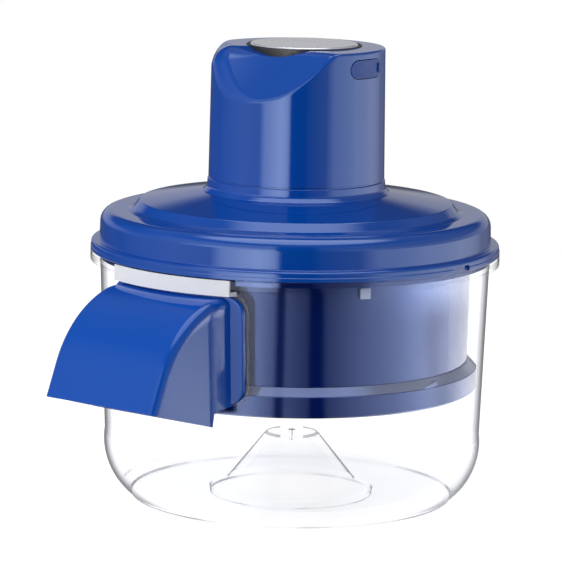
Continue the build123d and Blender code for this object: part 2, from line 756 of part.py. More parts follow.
def button_cap():
    top = BODY_Z[1] + 0.8
    flange = BODY_Z[1] - 4.7
    body = disc(BUTTON_R, (flange, top), BUTTON_AT)
    body = smooth(body, body.edges().group_by(Axis.Z)[-1], 0.7, 0.4)
    body += disc(RING_R[0] + 0.5, (flange, flange + 1.3), BUTTON_AT)
    body -= disc(BUTTON_R - 1.6, (flange - 1, BODY_Z[1] - 1.1), BUTTON_AT)
    stem_end = BOARD_Z[1] + 4.8 + BUTTON_TRAVEL + 0.05
    return body + disc(3.0, (stem_end, BODY_Z[1] - 1.0), BUTTON_AT)


def button_ring():
    collar = ring(*RING_R, (BODY_Z[1] - 3.0, BODY_Z[1] + 0.35), BUTTON_AT)
    return smooth(collar, collar.edges().group_by(Axis.Z)[-1], 0.25)


def charge_board():
    board = at_azimuth(block((18.6, 27.6), (-6.0, 6.0), (PORT_Z - 2.85, PORT_Z - 1.65)), PORT_AZ)
    for side in (-1, 1):
        post = block((19.4, 21.0), (4.4 * side - 0.8, 4.4 * side + 0.8), (BOARD_Z[1], PORT_Z - 2.8))
        board += at_azimuth(post, PORT_AZ)
    return board


def usb_socket():
    shell = port_shape(8.94, 3.26, (20.9, 28.1)) - port_shape(8.2, 2.56, (22.0, 30))
    return shell + port_shape(6.6, 0.7, (21.5, 27.0))


def port_cover():
    face = port_shape(*PORT_SIZE, (28, 40)) & disc(31.75, (150, 170))
    face -= disc(30.4, (150, 170))
    plug = port_shape(6.8, 1.9, (28.6, 31.0))
    lip = at_azimuth(block((30.0, 33.0), (6.6, 8.2), (PORT_Z - 1.6, PORT_Z + 1.6)), PORT_AZ)
    return face + plug + (lip & disc(32.3, (150, 170)))


# ---- write every piece -----------------------------------------------------------------------
def pieces():
    named = {
        **bowl_pieces(),
        "bowl_centre_pin": bowl_centre_pin(),
        "chute_gasket": chute_gasket(),
        "chute": chute(),
        "drum_wall": drum_wall(),
        "drum_collar": drum_collar(),
        "drum_floor": drum_floor(),
        "drum_spindle": drum_spindle(),
        "rotor_disc": rotor_disc(),
        "rotor_paddles": [at_azimuth(rotor_paddle(), 90 * i) for i in range(PADDLE_COUNT)],
        "rotor_bush": rotor_bush(),
        "lid_shell": lid_shell(),
        "lid_seal": lid_seal(),
        "lid_base_plate": lid_base_plate(),
        "lid_screws": lid_screws(),
        "gearbox_case": gearbox_case(),
        "gearbox_cover": gearbox_cover(),
        "gearbox_screws": gearbox_screws(),
        "ring_gear": ring_gear(),
        "planet_carrier": planet_carrier(),
        "drive_coupling": drive_coupling(),
        "sun_gear": sun_gear(),
        "output_bush": output_bush(),
        "shaft_seal": shaft_seal(),
        "motor_can": motor_can(),
        "motor_magnets": motor_magnets(),
        "motor_armature": motor_armature(),
        "motor_shaft": motor_shaft(),
        "motor_screws": motor_screws(),
        "motor_end_cap": motor_end_cap(),
        "motor_housing": motor_housing(),
        "housing_screws": housing_screws(),
        "battery_holder": battery_holder(),
        "control_board": control_board(),
        "board_screws": board_screws(),
        "power_switch": power_switch(),
        "button_spring": button_spring(),
        "button_cap": button_cap(),
        "button_ring": button_ring(),
        "charge_board": charge_board(),
        "usb_socket": usb_socket(),
        "port_cover": port_cover(),
    }
    for i in range(PLANETS):
        named[f"planet_gear_{i + 1}"] = planet_gear(i)
    for i in range(len(CELL_AZ)):
        named[f"battery_cell_{i + 1}"] = battery_cell(i)
    return named


os.makedirs("parts", exist_ok=True)
for name, shape in pieces().items():
    solids = shape if isinstance(shape, list) else shape.solids()
    export_step(Compound(children=list(solids)), f"parts/{name}.step")
    print(name, len(solids))
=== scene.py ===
"""Looks of the cordless bowl processor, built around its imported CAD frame."""
import json
import math

import bmesh
import bpy
import numpy as np
from mathutils import Matrix, Vector


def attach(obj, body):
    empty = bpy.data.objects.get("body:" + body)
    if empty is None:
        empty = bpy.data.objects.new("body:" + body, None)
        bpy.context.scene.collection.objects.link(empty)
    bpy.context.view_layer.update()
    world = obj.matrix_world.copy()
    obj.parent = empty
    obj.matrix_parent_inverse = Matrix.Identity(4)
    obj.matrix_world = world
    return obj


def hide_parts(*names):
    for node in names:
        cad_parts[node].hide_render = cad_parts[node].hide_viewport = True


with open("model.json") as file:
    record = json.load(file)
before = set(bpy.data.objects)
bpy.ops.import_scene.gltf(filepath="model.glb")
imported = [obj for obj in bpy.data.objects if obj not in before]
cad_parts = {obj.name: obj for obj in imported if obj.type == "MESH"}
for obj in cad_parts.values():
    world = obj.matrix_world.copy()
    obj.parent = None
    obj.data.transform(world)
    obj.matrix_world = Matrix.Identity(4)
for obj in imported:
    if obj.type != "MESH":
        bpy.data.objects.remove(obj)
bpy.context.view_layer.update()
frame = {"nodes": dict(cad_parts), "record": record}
NODES = frame["nodes"]
MM = 0.001
CHUTE_AZ = -38.0


def direction(azimuth):
    """The level direction at an azimuth, in degrees from the front (-Y) towards +X."""
    a = math.radians(azimuth)
    return Vector((math.sin(a), -math.cos(a), 0))


# ---- materials -------------------------------------------------------------------------------
class Nodes:
    """Short calls that add nodes to a node tree."""

    def __init__(self, tree):
        self.tree = tree

    def node(self, kind, **inputs):
        made = self.tree.nodes.new(kind)
        for key, value in inputs.items():
            self.put(made.inputs[key.replace("_", " ")], value)
        return made

    def put(self, socket, value):
        if isinstance(value, bpy.types.NodeSocket):
            self.tree.links.new(value, socket)
        else:
            socket.default_value = value

    def math(self, operation, *values):
        made = self.node("ShaderNodeMath")
        made.operation = operation
        for socket, value in zip(made.inputs, values):
            self.put(socket, value)
        return made.outputs[0]

    def mixed(self, factor, first, second):
        made = self.node("ShaderNodeMix")
        made.data_type = "RGBA"
        for socket, value in zip((made.inputs[0], made.inputs[6], made.inputs[7]), (factor, first, second)):
            self.put(socket, value)
        return made.outputs[2]

    def dot(self, first, second):
        made = self.node("ShaderNodeVectorMath")
        made.operation = "DOT_PRODUCT"
        self.put(made.inputs[0], first)
        self.put(made.inputs[1], second)
        return made.outputs["Value"]

    def ramp(self, factor, *stops):
        made = self.node("ShaderNodeValToRGB", Fac=factor)
        elements = made.color_ramp.elements
        while len(elements) < len(stops):
            elements.new(0.5)
        for element, (position, colour) in zip(elements, stops):
            element.position = position
            element.color = (*colour, 1)
        return made.outputs["Color"]

    def azimuth_share(self, x, y):
        """The azimuth of a level direction as a share of a turn, 0.5 at the front."""
        turn = self.math("ARCTAN2", x, self.math("MULTIPLY", y, -1.0))
        return self.math("MULTIPLY_ADD", turn, 0.5 / math.pi, 0.5)

    def around(self, share, levels):
        """A grey level that changes with azimuth, from (azimuth, level) pairs."""
        top = max(level for _, level in levels)
        stops = [((azimuth + 180) / 360, (level / top,) * 3) for azimuth, level in levels]
        bright = self.node("ShaderNodeVectorMath", Vector=self.ramp(share, *stops))
        bright.operation = "SCALE"
        bright.inputs["Scale"].default_value = top
        return bright.outputs[0]


class Shader(Nodes):
    """A Principled material."""

    def __init__(self, name, **values):
        self.material = bpy.data.materials.new(name)
        self.material.use_nodes = True
        super().__init__(self.material.node_tree)
        self.bsdf = self.tree.nodes["Principled BSDF"]
        for key, value in values.items():
            self.bsdf.inputs[key.replace("_", " ")].default_value = value
        self.coords = self.node("ShaderNodeTexCoord").outputs["Object"]

    def noise(self, scale, detail=3.0, stretch=(1, 1, 1)):
        where = self.node("ShaderNodeMapping", Vector=self.coords, Scale=stretch)
        made = self.node("ShaderNodeTexNoise", Vector=where.outputs[0], Scale=scale, Detail=detail)
        return made.outputs["Fac"]

    def spread(self, factor, low, high):
        made = self.node("ShaderNodeMapRange", Value=factor)
        made.inputs["From Min"].default_value = 0.3
        made.inputs["From Max"].default_value = 0.7
        made.inputs["To Min"].default_value = low
        made.inputs["To Max"].default_value = high
        return made.outputs["Result"]

    def bump(self, height, strength, distance):
        made = self.node("ShaderNodeBump", Height=height, Strength=strength, Distance=distance)
        self.put(self.bsdf.inputs["Normal"], made.outputs["Normal"])

    def place(self):
        """The x, y and z of a point of the surface, and its distance from the Z axis."""
        x, y, z = self.node("ShaderNodeSeparateXYZ", Vector=self.coords).outputs
        squares = self.math("ADD", self.math("MULTIPLY", x, x), self.math("MULTIPLY", y, y))
        return x, y, z, self.math("SQRT", squares)

    def band(self, value, limits, within):
        """1 where a value lies between two limits and another mask holds."""
        over = self.math("GREATER_THAN", value, limits[0])
        under = self.math("LESS_THAN", value, limits[1])
        return self.math("MULTIPLY", self.math("MULTIPLY", over, under), within)

    def facing(self):
        """0 where a surface faces the viewer and 1 where it is seen edge on."""
        return self.node("ShaderNodeLayerWeight", Blend=0.5).outputs["Facing"]

    def colour(self, value):
        self.put(self.bsdf.inputs["Base Color"], value)

    def rough(self, value):
        self.put(self.bsdf.inputs["Roughness"], value)


def tone(colour, share):
    return tuple(min(1.0, c * share) for c in colour)


def gloss_blue(name, level, share):
    """Glossy blue, with the strength of its mirroring and a share of its colour's brightness."""
    s = Shader(name, IOR=1.52, Specular_IOR_Level=level)
    s.bsdf.inputs["Specular Tint"].default_value = (0.62, 0.76, 1.0, 1)
    base = tone((0.0012, 0.066, 0.40), share)
    s.colour(s.ramp(s.noise(9.0, 2.0), (0.3, tone(base, 0.96)), (0.7, tone(base, 1.04))))
    s.rough(s.spread(s.noise(260.0, 4.0), 0.035, 0.065))
    s.bump(s.noise(38.0, 1.0), 0.03, 0.0004)
    return s.material


# Heights and reaches of the painted highlight bands on the navy parts.
SHOULDER_Z = (0.0493, 0.0522)
SHOULDER_FROM_R = 0.0644
LUG_Z = (0.080, 0.0882)
LUG_FROM_R = 0.0656


def gloss_navy():
    """Dark blue, with painted highlights: a grey-blue band on the collar's ledge and a white band at the
    stop lug height.
    """
    s = Shader("gloss_navy_plastic", IOR=1.5, Specular_IOR_Level=0.95)
    s.bsdf.inputs["Specular Tint"].default_value = (0.26, 0.42, 1.0, 1)
    _, _, z, reach = s.place()
    # Painted highlights: a grey-blue band on the collar's ledge and a white band at the stop lug height
    # stand in for light mirrored there.
    shoulder_highlight = s.band(z, SHOULDER_Z, s.math("GREATER_THAN", reach, SHOULDER_FROM_R))
    lug_highlight = s.band(z, LUG_Z, s.math("GREATER_THAN", reach, LUG_FROM_R))
    base = (0.0016, 0.013, 0.125)
    deep = s.ramp(s.noise(9.0, 2.0), (0.3, tone(base, 0.95)), (0.7, tone(base, 1.05)))
    shoulder_highlight_grey = s.ramp(s.noise(60.0, 2.0), (0.3, (0.17, 0.19, 0.30)), (0.7, (0.21, 0.23, 0.35)))
    white = s.ramp(s.noise(60.0, 2.0), (0.3, (0.66, 0.72, 0.86)), (0.7, (0.74, 0.79, 0.92)))
    s.colour(s.mixed(lug_highlight, s.mixed(shoulder_highlight, deep, shoulder_highlight_grey), white))
    s.rough(s.spread(s.noise(260.0, 4.0), 0.03, 0.055))
    s.bump(s.noise(30.0, 1.0), 0.02, 0.0004)
    return s.material


def matte_blue():
    s = Shader("blue_rubber", IOR=1.48)
    base = (0.004, 0.05, 0.27)
    s.colour(s.ramp(s.noise(60.0, 3.0), (0.3, tone(base, 0.9)), (0.7, tone(base, 1.1))))
    s.rough(s.spread(s.noise(900.0, 3.0), 0.42, 0.55))
    s.bump(s.noise(2200.0, 2.0), 0.25, 0.00003)
    return s.material


def see_through(s, clear, lean, edges, reflect):
    """Lets light straight through a thin clear wall, greyer where it is seen edge on.

    The two values of reflect are the mirrored share face on, and what edge on adds to it.
    """
    through = s.node("ShaderNodeBsdfTransparent", Color=s.ramp(lean, *edges))
    shine = s.math("MULTIPLY_ADD", s.math("POWER", s.facing(), 5.0), reflect[1], reflect[0])
    veil = s.node("ShaderNodeMixShader", Fac=shine)
    s.put(veil.inputs[1], through.outputs[0])
    s.put(veil.inputs[2], s.bsdf.outputs[0])
    whole = s.node("ShaderNodeMixShader", Fac=clear)
    s.put(whole.inputs[1], s.bsdf.outputs[0])
    s.put(whole.inputs[2], veil.outputs[0])
    s.put(s.tree.nodes["Material Output"].inputs["Surface"], whole.outputs[0])


# Heights and reaches of the painted dark lines on the clear bowl.
CONE_TO_R = 0.0245
CONE_SIDE_Z = (0.0049, 0.0222)
CAP_EDGE_Z = (0.0222, 0.0230)
CAP_EDGE_FROM_X = 0.0042
FOOT_EDGE_Z = (-0.0002, 0.0007)
FOOT_DARK_LINE_Z = (0.0030, 0.0037)
# Painted shade: how grey the clear wall turns as it leans from face on to edge on.
WALL_GREYS = [(0.0, 0.999), (0.64, 0.996), (0.74, 0.94), (0.80, 0.72), (0.87, 0.42), (1.0, 0.16)]


def clear_plastic():
    """Grey at the outer skin's edges, painted shade for where a thick wall bends the light away, and clear
    inside.
    """
    s = Shader("clear_plastic", IOR=1.49, Metallic=1.0)
    s.colour(s.ramp(s.noise(8.0, 2.0), (0.3, (0.74, 0.80, 0.96)), (0.7, (0.78, 0.83, 0.98))))
    s.rough(s.spread(s.noise(300.0, 3.0), 0.012, 0.03))
    s.bump(s.noise(24.0, 1.0), 0.03, 0.0003)
    geometry = s.node("ShaderNodeNewGeometry").outputs
    side = s.math("MULTIPLY_ADD", geometry["Backfacing"], -2.0, 1.0)
    outward = s.math("MULTIPLY", s.dot(geometry["Normal"], geometry["Position"]), side)
    skin = s.math("GREATER_THAN", outward, 0.001)

    # The lean is 0 where the wall faces the viewer and 1 edge on; level faces count as less.
    lean = s.math("MULTIPLY_ADD", s.noise(30.0, 2.0), 0.02, s.facing())
    lift = s.node("ShaderNodeSeparateXYZ", Vector=geometry["Normal"]).outputs["Z"]
    level = s.math("MAXIMUM", s.math("MULTIPLY", lift, side), 0.0)
    lean = s.math("MULTIPLY_ADD", s.math("MULTIPLY", level, level), -0.34, lean)
    lean = s.math("MULTIPLY", lean, s.math("MULTIPLY_ADD", skin, 0.26, 0.74))

    # Painted shade lines for light the thick walls bend away: the cone's sides, its cap's edge, the foot's
    # edge and a line above it.
    x, _, z, reach = s.place()
    across = s.math("ABSOLUTE", x)
    near = s.math("MULTIPLY", skin, s.math("LESS_THAN", reach, CONE_TO_R))
    cone = s.math("MULTIPLY", s.band(z, CONE_SIDE_Z, near), 0.17)
    lean = s.math("MULTIPLY_ADD", s.math("POWER", s.facing(), 2.0), cone, lean)
    cap = s.math("MULTIPLY", near, s.math("GREATER_THAN", across, CAP_EDGE_FROM_X))
    cap = s.band(z, CAP_EDGE_Z, s.math("MULTIPLY", cap, 0.84))
    streaks = s.spread(s.noise(34.0, 2.0, (1, 1, 0.2)), 0.60, 0.84)
    streaks = s.math("MULTIPLY", skin, s.math("MULTIPLY_ADD", across, 2.6, streaks))
    foot = s.band(z, FOOT_EDGE_Z, streaks)
    floor_line_shade = s.math("MULTIPLY", s.band(z, FOOT_DARK_LINE_Z, streaks), 0.86)
    for line in (foot, cap, floor_line_shade):
        lean = s.math("MAXIMUM", lean, line)
    edges = [(at, (v, v, min(1.0, 1.01 * v))) for at, v in WALL_GREYS]
    see_through(s, 1.0, lean, edges, (0.018, 0.12))
    return s.material


WHITE_FROM_Z = 0.0848
WHITE_HALF_WIDTH = 0.02632


def milky_silicone():
    """White above the chute, between the ends of its opening, and nearly clear elsewhere."""
    s = Shader("milky_silicone", IOR=1.41, Subsurface_Weight=0.2)
    s.bsdf.inputs["Subsurface Radius"].default_value = (0.003, 0.003, 0.003)
    s.colour(s.ramp(s.noise(40.0, 3.0), (0.3, (0.86, 0.88, 0.92)), (0.7, (0.91, 0.93, 0.96))))
    s.rough(s.spread(s.noise(700.0, 3.0), 0.25, 0.38))
    s.bump(s.noise(900.0, 2.0), 0.15, 0.00004)
    across = s.math("ABSOLUTE", s.dot(s.coords, direction(CHUTE_AZ + 90)))
    height = s.node("ShaderNodeSeparateXYZ", Vector=s.coords).outputs["Z"]
    above = s.math("GREATER_THAN", height, WHITE_FROM_Z)
    within = s.math("LESS_THAN", across, WHITE_HALF_WIDTH)
    clear = s.math("MULTIPLY_ADD", s.math("MULTIPLY", above, within), -0.95, 0.95)
    # Painted shade: the nearly clear parts turn a little greyer seen edge on.
    edges = [(0.0, (0.98, 0.985, 0.99)), (0.8, (0.94, 0.955, 0.98)), (1.0, (0.8, 0.84, 0.9))]
    see_through(s, clear, s.facing(), edges, (0.03, 0.5))
    return s.material


def plain_plastic(name, base, low, high):
    s = Shader(name, IOR=1.5)
    s.colour(s.ramp(s.noise(45.0, 3.0), (0.3, tone(base, 0.9)), (0.7, tone(base, 1.1))))
    s.rough(s.spread(s.noise(900.0, 3.0), low, high))
    s.bump(s.noise(1530.0, 2.0), 0.3, 0.00003)
    return s.material


def metal(name, base, low, high):
    s = Shader(name, Metallic=1.0)
    brushed = s.noise(420.0, 5.0, (1, 1, 12))
    s.colour(s.ramp(brushed, (0.3, tone(base, 0.86)), (0.7, tone(base, 1.08))))
    s.rough(s.spread(brushed, low, high))
    s.bump(brushed, 0.12, 0.00002)
    return s.material


def silver_button():
    s = Shader("silver_button", Metallic=0.35, IOR=1.5, Coat_Weight=0.7, Coat_Roughness=0.03)
    base = (0.66, 0.67, 0.78)
    s.colour(s.ramp(s.noise(30.0, 3.0), (0.3, tone(base, 0.95)), (0.7, tone(base, 1.05))))
    s.rough(s.spread(s.noise(1500.0, 3.0), 0.16, 0.24))
    s.bump(s.noise(2600.0, 2.0), 0.1, 0.00002)
    return s.material


def circuit_board():
    s = Shader("circuit_board", IOR=1.5, Coat_Weight=0.3, Coat_Roughness=0.15)
    tracks = s.node("ShaderNodeTexBrick", Vector=s.coords, Scale=240.0)
    tracks.inputs["Color1"].default_value = (0.01, 0.12, 0.05, 1)
    tracks.inputs["Color2"].default_value = (0.012, 0.16, 0.07, 1)
    tracks.inputs["Mortar"].default_value = (0.03, 0.26, 0.12, 1)
    s.colour(tracks.outputs["Color"])
    s.rough(s.spread(s.noise(600.0, 3.0), 0.3, 0.42))
    s.bump(tracks.outputs["Fac"], 0.3, 0.00003)
    return s.material


BLUE = gloss_blue("gloss_blue_plastic", 0.62, 1.0)
# Painted light: the chute is the lid's blue plastic made 1.2 times brighter for the stronger light falling
# on it, with weaker mirroring.
LIT_CHUTE_BLUE = gloss_blue("chute_blue_painted_light", 0.36, 1.2)
NAVY = gloss_navy()
RUBBER_BLUE = matte_blue()
CLEAR = clear_plastic()
MILKY = milky_silicone()
SILVER = silver_button()
BLACK = plain_plastic("black_plastic", (0.012, 0.012, 0.014), 0.35, 0.5)
GREY = plain_plastic("grey_plastic", (0.5, 0.53, 0.6), 0.25, 0.36)
GEAR = plain_plastic("gear_plastic", (0.75, 0.72, 0.62), 0.35, 0.5)
PADDLE = plain_plastic("grey_silicone", (0.36, 0.39, 0.45), 0.4, 0.55)
WRAP = plain_plastic("cell_wrap", (0.03, 0.22, 0.36), 0.18, 0.26)
SEAL = plain_plastic("black_rubber", (0.02, 0.02, 0.02), 0.5, 0.65)
STEEL = metal("steel", (0.66, 0.67, 0.69), 0.16, 0.3)
BRASS = metal("brass", (0.74, 0.55, 0.24), 0.2, 0.34)
MAGNET = metal("magnet", (0.1, 0.1, 0.11), 0.5, 0.65)
BOARD = circuit_board()

SLOT_MATERIALS = {
    "clear_plastic": CLEAR, "steel": STEEL, "silicone_white": MILKY, "silicone_grey": PADDLE,
    "blue_plastic": BLUE, "navy_plastic": NAVY, "grey_plastic": GREY, "black_plastic": BLACK,
    "brass": BRASS, "gear_plastic": GEAR, "rubber_black": SEAL, "zinc_steel": STEEL, "magnet": MAGNET,
    "circuit_board": BOARD, "silver_plastic": SILVER, "rubber_blue": RUBBER_BLUE, "cell_wrap": WRAP,
}
for part in frame["record"]["subparts"]:
    node = NODES[part["node"]]
    node.data.materials.clear()
    node.data.materials.append(SLOT_MATERIALS[part["material_slot"]])


# ---- mesh tools ------------------------------------------------------------------------------
def add_object(name, mesh, material, body, nodes, sharp):
    """Puts a finished mesh on a body in place of CAD nodes, with edges over the sharp angle crisp."""
    mesh.validate()
    mesh.update()
    mesh.shade_smooth()
    mesh.set_sharp_from_angle(angle=math.radians(sharp))
    mesh.materials.append(material)
    made = bpy.data.objects.new(name, mesh)
    bpy.context.scene.collection.objects.link(made)
    weighted = made.modifiers.new("normals", "WEIGHTED_NORMAL")
    weighted.keep_sharp = True
    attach(made, body)
    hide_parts(*nodes)
    return made


def arc_corner(before, corner, after, radius, steps=6):
    """Points of the round that replaces a corner of an outline."""
    a, b, c = (np.array(p[:2], float) for p in (before, corner, after))
    u, v = (a - b) / np.linalg.norm(a - b), (c - b) / np.linalg.norm(c - b)
    half = math.acos(max(-1.0, min(1.0, float(u @ v)))) / 2
    if radius <= 0 or half > math.radians(88):
        return [tuple(b)]
    reach = min(radius / math.tan(half), 0.48 * np.linalg.norm(a - b), 0.48 * np.linalg.norm(c - b))
    radius = reach * math.tan(half)
    centre = b + (u + v) / np.linalg.norm(u + v) * radius / math.sin(half)
    start, end = b + u * reach - centre, b + v * reach - centre
    sweep = math.pi - 2 * half
    sign = 1 if start[0] * end[1] - start[1] * end[0] > 0 else -1
    points = []
    for i in range(steps + 1):
        t = sign * sweep * i / steps
        turned = (start[0] * math.cos(t) - start[1] * math.sin(t),
                  start[0] * math.sin(t) + start[1] * math.cos(t))
        points.append((centre[0] + turned[0], centre[1] + turned[1]))
    return points


def rounded_outline(corners):
    """A closed outline from (x, y, corner radius) points."""
    points = []
    for i, corner in enumerate(corners):
        radius = corner[2] if len(corner) > 2 else 0
        points += arc_corner(corners[i - 1], corner, corners[(i + 1) % len(corners)], radius)
    return points


def circle_arc(start, middle, end, steps):
    """Points after the start on the circle through three points."""
    (ax, ay), (bx, by), (cx, cy) = start, middle, end
    d = 2 * (ax * (by - cy) + bx * (cy - ay) + cx * (ay - by))
    a2, b2, c2 = ax * ax + ay * ay, bx * bx + by * by, cx * cx + cy * cy
    ux = (a2 * (by - cy) + b2 * (cy - ay) + c2 * (ay - by)) / d
    uy = (a2 * (cx - bx) + b2 * (ax - cx) + c2 * (bx - ax)) / d
    radius = math.hypot(ax - ux, ay - uy)
    angles = [math.atan2(y - uy, x - ux) for x, y in (start, middle, end)]
    turn = (angles[2] - angles[0] + math.pi) % (2 * math.pi) - math.pi
    return [(ux + radius * math.cos(angles[0] + turn * i / steps),
             uy + radius * math.sin(angles[0] + turn * i / steps)) for i in range(1, steps + 1)]


def grid_mesh(name, rows, close_rows, close_columns):
    """A mesh from a (rows, columns, 3) array of points in millimetres."""
    count, width = rows.shape[:2]
    faces = []
    for i in range(count if close_rows else count - 1):
        for j in range(width if close_columns else width - 1):
            k, m = (i + 1) % count, (j + 1) % width
            faces.append((i * width + j, i * width + m, k * width + m, k * width + j))
    mesh = bpy.data.meshes.new(name)
    mesh.from_pydata([tuple(p * MM) for p in rows.reshape(-1, 3)], [], faces)
    return mesh


def lathe(name, outline, segments=240):
    """Turns a closed (r, z) outline about the Z axis."""
    turn = np.linspace(0, 2 * math.pi, segments, endpoint=False)
    profile = np.array(outline, float)
    rows = np.zeros((len(profile), segments, 3))
    rows[:, :, 0] = profile[:, :1] * np.cos(turn)
    rows[:, :, 1] = profile[:, :1] * np.sin(turn)
    rows[:, :, 2] = profile[:, 1:2]
    mesh = grid_mesh(name, rows, True, True)
    fix_normals(mesh)
    return mesh


def fix_normals(mesh):
    bm = bmesh.new()
    bm.from_mesh(mesh)
    bmesh.ops.remove_doubles(bm, verts=bm.verts, dist=1e-7)
    bmesh.ops.recalc_face_normals(bm, faces=bm.faces)
    bm.to_mesh(mesh)
    bm.free()


def rounded_rectangle(width, height, radius, steps=8):
    points = []
    for cx, cy, start in ((1, 1, 0), (-1, 1, 90), (-1, -1, 180), (1, -1, 270)):
        for i in range(steps + 1):
            a = math.radians(start + 90 * i / steps)
            points.append((cx * (width / 2 - radius) + radius * math.cos(a),
                           cy * (height / 2 - radius) + radius * math.sin(a)))
    return points


def framed(width, height, radius, steps=14):
    """A rounded rectangle whose straight sides are divided, so that it can follow a curve."""
    corners = rounded_rectangle(width, height, radius)
    points = []
    for i, here in enumerate(corners):
        there = corners[(i + 1) % len(corners)]
        count = steps if math.dist(here, there) > 6 else 1
        points += [(here[0] + (there[0] - here[0]) * k / count,
                    here[1] + (there[1] - here[1]) * k / count) for k in range(count)]
    return points


def closed_mesh(name, rings):
    """A tube through rings of points in millimetres, closed at both ends."""
    bm = bmesh.new()
    loops = [[bm.verts.new(Vector(p) * MM) for p in ring] for ring in rings]
    for lower, upper in zip(loops, loops[1:]):
        for i in range(len(lower)):
            j = (i + 1) % len(lower)
            bm.faces.new((lower[i], lower[j], upper[j], upper[i]))
    bm.faces.new(loops[0])
    bm.faces.new(loops[-1])
    bmesh.ops.recalc_face_normals(bm, faces=bm.faces)
    mesh = bpy.data.meshes.new(name)
    bm.to_mesh(mesh)
    bm.free()
    return mesh


def prism_cutter(azimuth, width, z, radius, reach):
    """A rounded rectangle pushed outwards along an azimuth between two radii."""
    out, side = direction(azimuth), direction(azimuth + 90)
    middle = (z[0] + z[1]) / 2
    shape = rounded_rectangle(width, z[1] - z[0], radius)
    rings = [[out * r + side * x + Vector((0, 0, middle + y)) for x, y in shape] for r in reach]
    return closed_mesh("cutter", rings)


def combine(mesh, tools, operation="DIFFERENCE"):
    """Cuts or joins meshes and returns the result."""
    host = bpy.data.objects.new("host", mesh)
    bpy.context.scene.collection.objects.link(host)
    helpers = []
    for tool in tools:
        helper = bpy.data.objects.new("tool", tool)
        bpy.context.scene.collection.objects.link(helper)
        helpers.append(helper)
        modifier = host.modifiers.new("cut", "BOOLEAN")
        modifier.operation = operation
        modifier.solver = "EXACT"
        modifier.object = helper
    bpy.context.view_layer.update()
    result = bpy.data.meshes.new_from_object(host.evaluated_get(bpy.context.evaluated_depsgraph_get()))
    for used in [host] + helpers:
        bpy.data.objects.remove(used)
    result.materials.clear()
    return result


# ---- motor housing ---------------------------------------------------------------------------
HOUSING_Z = (118.2, 166.0)
HOUSING_R = (32.2, 31.6)
FACET_AZ = -29.0
FACET_TOP_D = 17.6
FACET_SLOPE = 1.2
FACET_HOLLOW = 330.0
EDGE_R = (0.7, 7.5)
EDGE_AZ = (-88, 42)
CREASE_R = (0.7, 3.6)
CREASE_AZ = (-72, 46)
CREASE_TOP_R = 1.6
SKIN_CENTRE_Z = 142.0
SKIN_THICK = 2.4
BUTTON_AT = Vector((2.06, 3.7, 0))
BUTTON_HOLE_R = 21.2
PORT_AZ = 52.0
PORT_Z = 160.0


def meet(a, b, radius):
    """The signed distance inside two surfaces, with their edge rounded."""
    outside = np.hypot(np.maximum(a + radius, 0), np.maximum(b + radius, 0)) - radius
    return outside + np.minimum(np.maximum(a, b) + radius, 0)


def bell(angle, middle, width):
    """1 at the middle azimuth, falling smoothly to 0 at a width either side."""
    t = np.clip(1 - np.abs((angle - middle + 180) % 360 - 180) / width, 0, 1)
    return t * t * (3 - 2 * t)


def housing_distance(points):
    """How far points lie outside the motor housing's skin."""
    x, y, z = points[..., 0], points[..., 1], points[..., 2]
    angle = np.degrees(np.arctan2(x, -y))
    fall = (HOUSING_R[0] - HOUSING_R[1]) / (HOUSING_Z[1] - HOUSING_Z[0])
    wall = np.hypot(x, y) - (HOUSING_R[0] - fall * (z - HOUSING_Z[0]))
    top = z - HOUSING_Z[1]
    length = math.hypot(1, FACET_SLOPE)
    nd, nz = FACET_SLOPE / length, 1 / length
    out = direction(FACET_AZ)
    d = x * out.x + y * out.y
    centre_d = FACET_TOP_D + FACET_HOLLOW * nd
    centre_z = HOUSING_Z[1] + FACET_HOLLOW * nz
    along = (d - centre_d) * nd + (z - centre_z) * nz
    across = x * out.y - y * out.x
    facet = FACET_HOLLOW - np.hypot(along, across)
    edge = EDGE_R[0] + EDGE_R[1] * bell(angle, *EDGE_AZ)
    crease = CREASE_R[0] + CREASE_R[1] * bell(angle, *CREASE_AZ)
    over = np.clip((z - 160.0) / 5.0, 0, 1) * np.clip((22.0 - d) / 4.0, 0, 1)
    crease = crease * (1 - over) + np.maximum(crease, CREASE_TOP_R) * over
    body = meet(wall, top, edge)
    return meet(body, facet, crease)


def housing_skin(azimuths, heights, inset):
    """Points of the housing's skin on rays from a centre, for each azimuth and elevation."""
    centre = np.array((0, 0, SKIN_CENTRE_Z))
    a = np.radians(azimuths)
    level = np.stack([np.sin(a), -np.cos(a), np.zeros_like(a)], -1)
    rays = level[None] * np.cos(heights)[:, None, None]
    rays = rays + np.array((0, 0, 1)) * np.sin(heights)[:, None, None]
    low, high = np.zeros(rays.shape[:2]), np.full(rays.shape[:2], 60.0)
    for _ in range(40):
        middle = (low + high) / 2
        inside = housing_distance(centre + rays * middle[..., None]) + inset < 0
        low, high = np.where(inside, middle, low), np.where(inside, high, middle)
    return centre + rays * ((low + high) / 2)[..., None]


def hole_row(azimuths, z):
    """The button's round hole, at each azimuth about the housing's axis."""
    a = np.radians(azimuths)
    level = np.stack([np.sin(a), -np.cos(a)], -1)
    at = level @ np.array(BUTTON_AT[:2])
    off = BUTTON_AT.length ** 2
    reach = at + np.sqrt(at ** 2 - off + BUTTON_HOLE_R ** 2)
    row = level * reach[:, None]
    return np.concatenate([row, np.full((len(azimuths), 1), z)], 1)


